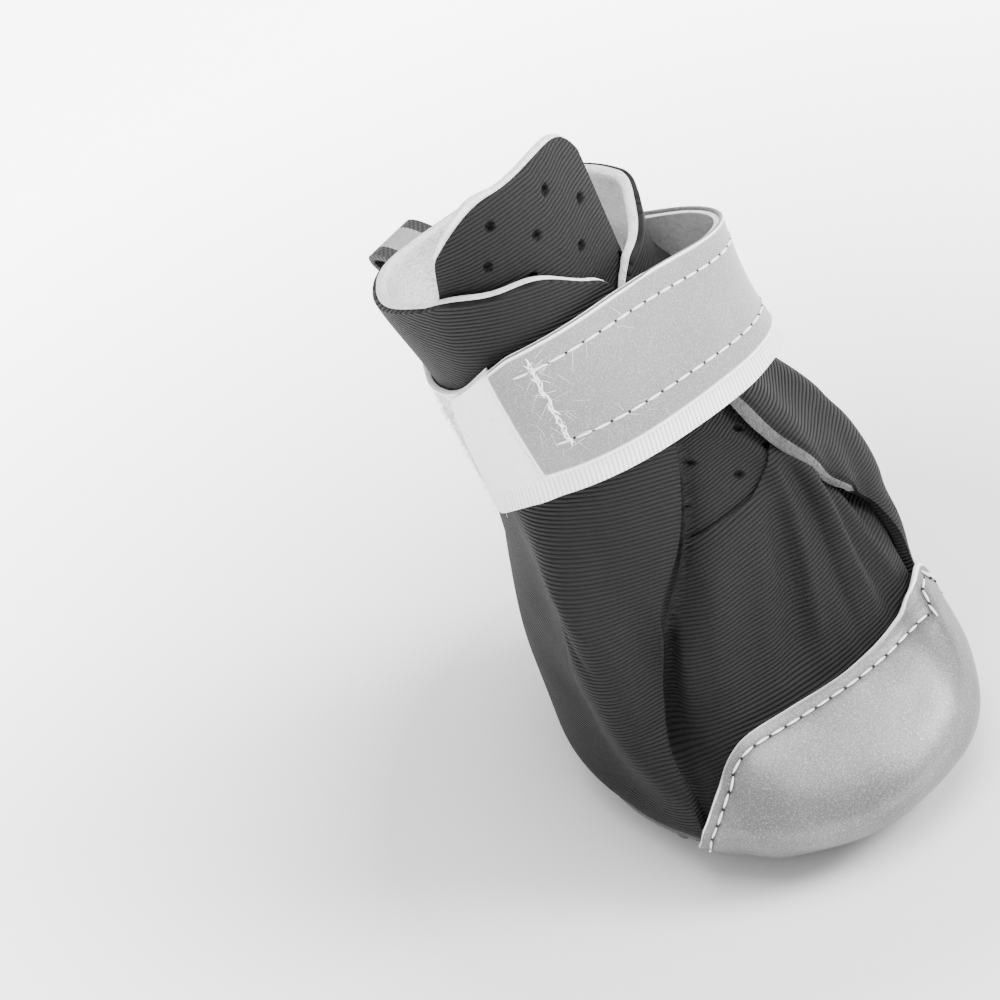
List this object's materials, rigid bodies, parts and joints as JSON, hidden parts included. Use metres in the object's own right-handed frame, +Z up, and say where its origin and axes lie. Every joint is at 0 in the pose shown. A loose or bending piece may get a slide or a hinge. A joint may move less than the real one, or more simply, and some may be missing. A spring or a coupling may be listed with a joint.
{
  "type": "dog boot",
  "caption": "Soft dog boot with a hollow ribbed-cloth upper, wide perforated tongue, toe cap, silver wrap strap on white tape, heel pull loop and cupped rubber sole with round studs.",
  "frame": {"origin": "on the floor, under the middle of the sole's length and width", "axes": "+X towards the toe, +Y to the boot's left, +Z up"},
  "size_m": [0.096, 0.0659, 0.13],
  "materials": {
    "rubber": "satin, moulded studs",
    "felt": "brushed felt",
    "ribbed_cloth": "fine ribs, felt inside",
    "silver_cloth": "coated, reflective, fine grain",
    "white_tape": "looped pile between woven edges",
    "black_tape": "woven, with a pale reflective stripe"
  },
  "bodies": {
    "root": {"outsole": "rubber", "insole": "felt", "upper": "ribbed_cloth", "tongue": "ribbed_cloth", "toe_cap": "silver_cloth", "loop_tape": "white_tape", "strap_tape": "white_tape", "strap_silver": "silver_cloth", "heel_strip": "black_tape", "pull_loop": "black_tape"}
  },
  "joints": []
}
